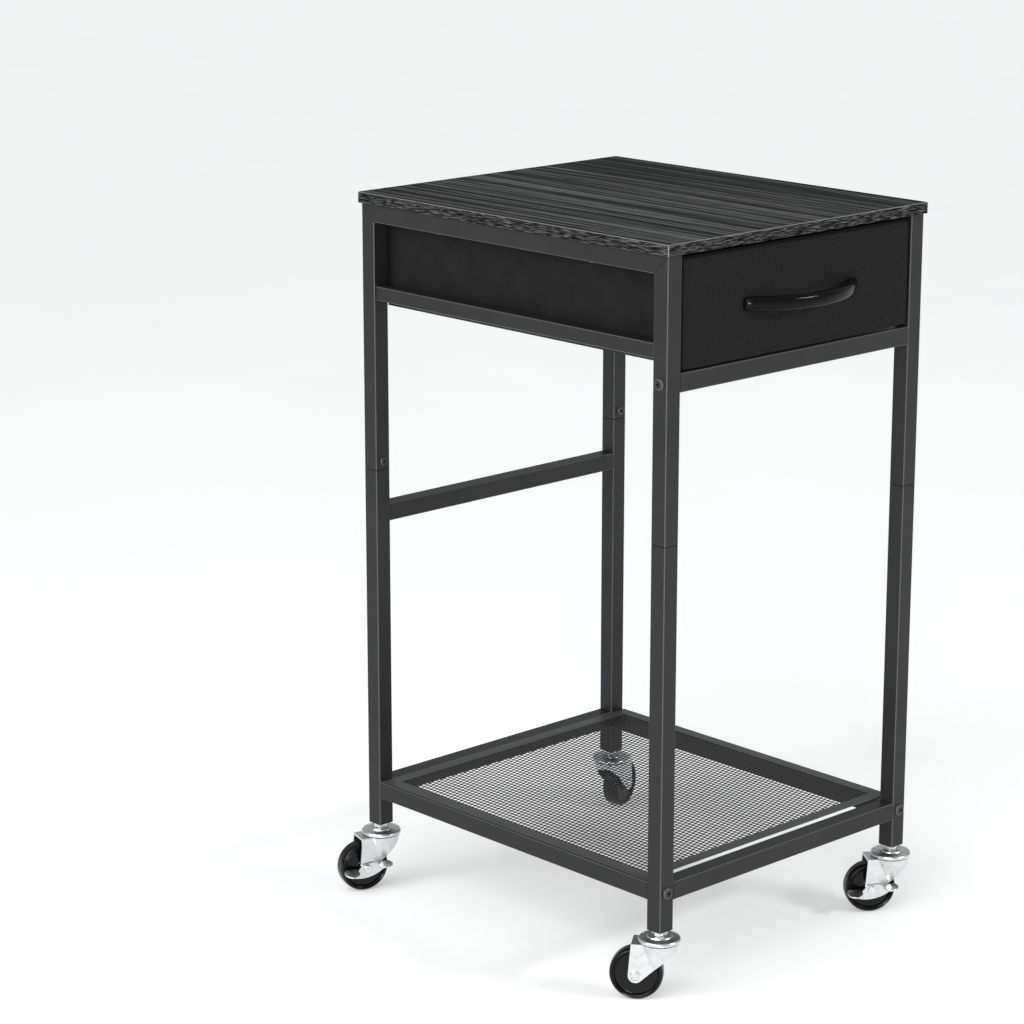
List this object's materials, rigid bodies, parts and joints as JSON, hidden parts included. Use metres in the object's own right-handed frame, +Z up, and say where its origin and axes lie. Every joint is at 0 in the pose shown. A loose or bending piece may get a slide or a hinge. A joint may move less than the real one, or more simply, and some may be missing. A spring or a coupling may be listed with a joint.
{
  "type": "cpu holder",
  "caption": "Rolling computer-tower stand with a square-tube frame, laminate top board, pull-out fabric drawer, expanded-metal shelf and swivel casters with brakes.",
  "frame": {"origin": "on the floor, at the middle of the bounding box's underside", "axes": "+Z up, -Y the way the drawer opens, +X to the right of someone facing the drawer"},
  "size_m": [0.4832, 0.5221, 0.81],
  "materials": {
    "frame_paint": "satin powder coat",
    "shelf_paint": "satin powder coat",
    "board_laminate": "black wood-grain laminate, satin",
    "front_fabric": "plain woven",
    "box_fabric": "non-woven, matt",
    "fibreboard": "matt",
    "handle_plastic": "glossy",
    "insert_plastic": "matt",
    "zinc": "bright zinc plate",
    "zinc_bright": "polished",
    "steel": "bare steel",
    "black_screws": "black oxide",
    "wheel_plastic": "semi-gloss"
  },
  "bodies": {
    "frame": {"back_mid_rail": "frame_paint", "board_screws": "black_screws", "caster_balls": "zinc_bright", "caster_caps": "zinc", "caster_stems": "zinc", "drawer_cross_rail": "frame_paint", "drawer_rail_bolts": "black_screws", "drawer_runner_left": "frame_paint", "drawer_runner_right": "frame_paint", "drawer_side_rail_left": "frame_paint", "drawer_side_rail_right": "frame_paint", "leg_inserts": "insert_plastic", "leg_joint_screws": "black_screws", "leg_joint_sleeves": "steel", "lower_leg_back_left": "frame_paint", "lower_leg_back_right": "frame_paint", "lower_leg_front_left": "frame_paint", "lower_leg_front_right": "frame_paint", "rail_nuts": "steel", "shelf_border_back": "shelf_paint", "shelf_border_front": "shelf_paint", "shelf_cross_rail_back": "frame_paint", "shelf_cross_rail_front": "frame_paint", "shelf_mesh": "shelf_paint", "shelf_rail_bolts": "black_screws", "shelf_side_rail_left": "frame_paint", "shelf_side_rail_right": "frame_paint", "top_board": "board_laminate", "top_rail_left": "frame_paint", "top_rail_right": "frame_paint", "upper_leg_back_left": "frame_paint", "upper_leg_back_right": "frame_paint", "upper_leg_front_left": "frame_paint", "upper_leg_front_right": "frame_paint"},
    "drawer": {"drawer_front_panel": "front_fabric", "drawer_fabric_box": "box_fabric", "drawer_bottom_board": "fibreboard", "drawer_handle": "handle_plastic", "drawer_handle_screws": "black_screws"},
    "swivel_front_left": {"fork_front_left": "zinc", "axle_front_left": "zinc_bright"},
    "wheel_front_left": {"wheel_front_left": "wheel_plastic", "wheel_bush_front_left": "zinc_bright"},
    "swivel_front_right": {"fork_front_right": "zinc", "axle_front_right": "zinc_bright"},
    "wheel_front_right": {"wheel_front_right": "wheel_plastic", "wheel_bush_front_right": "zinc_bright"},
    "brake_lever_front_right": {"brake_lever_front_right": "zinc"},
    "swivel_back_left": {"fork_back_left": "zinc", "axle_back_left": "zinc_bright"},
    "wheel_back_left": {"wheel_back_left": "wheel_plastic", "wheel_bush_back_left": "zinc_bright"},
    "brake_lever_back_left": {"brake_lever_back_left": "zinc"},
    "swivel_back_right": {"fork_back_right": "zinc", "axle_back_right": "zinc_bright"},
    "wheel_back_right": {"wheel_back_right": "wheel_plastic", "wheel_bush_back_right": "zinc_bright"}
  },
  "joints": [
    {"name": "drawer_slide", "type": "slide", "parent": "frame", "child": "drawer", "axis": [0, -1, 0], "range_m": [0, 0.3]},
    {"name": "swivel_front_left", "type": "hinge", "parent": "frame", "child": "swivel_front_left", "pos_m": [-0.18406, -0.2128, 0.058], "axis": [0, 0, 1], "continuous": true},
    {"name": "wheel_spin_front_left", "type": "hinge", "parent": "swivel_front_left", "child": "wheel_front_left", "pos_m": [-0.19884, -0.19389, 0.029], "axis": [-0.788, -0.6157, 0], "continuous": true},
    {"name": "swivel_front_right", "type": "hinge", "parent": "frame", "child": "swivel_front_right", "pos_m": [0.18994, -0.2128, 0.058], "axis": [0, 0, 1], "continuous": true},
    {"name": "wheel_spin_front_right", "type": "hinge", "parent": "swivel_front_right", "child": "wheel_front_right", "pos_m": [0.17028, -0.19903, 0.029], "axis": [-0.5736, -0.8192, 0], "continuous": true},
    {"name": "brake_front_right", "type": "hinge", "parent": "swivel_front_right", "child": "brake_lever_front_right", "pos_m": [0.17028, -0.19903, 0.029], "axis": [-0.5736, -0.8192, 0], "range_deg": [-18, 0]},
    {"name": "swivel_back_left", "type": "hinge", "parent": "frame", "child": "swivel_back_left", "pos_m": [-0.18406, 0.2362, 0.058], "axis": [0, 0, 1], "continuous": true},
    {"name": "wheel_spin_back_left", "type": "hinge", "parent": "swivel_back_left", "child": "wheel_back_left", "pos_m": [-0.20689, 0.24362, 0.029], "axis": [-0.309, -0.9511, 0], "continuous": true},
    {"name": "brake_back_left", "type": "hinge", "parent": "swivel_back_left", "child": "brake_lever_back_left", "pos_m": [-0.20689, 0.24362, 0.029], "axis": [-0.309, -0.9511, 0], "range_deg": [-18, 0]},
    {"name": "swivel_back_right", "type": "hinge", "parent": "frame", "child": "swivel_back_right", "pos_m": [0.18994, 0.2362, 0.058], "axis": [0, 0, 1], "continuous": true},
    {"name": "wheel_spin_back_right", "type": "hinge", "parent": "swivel_back_right", "child": "wheel_back_right", "pos_m": [0.21277, 0.24362, 0.029], "axis": [-0.309, 0.9511, 0], "continuous": true}
  ]
}
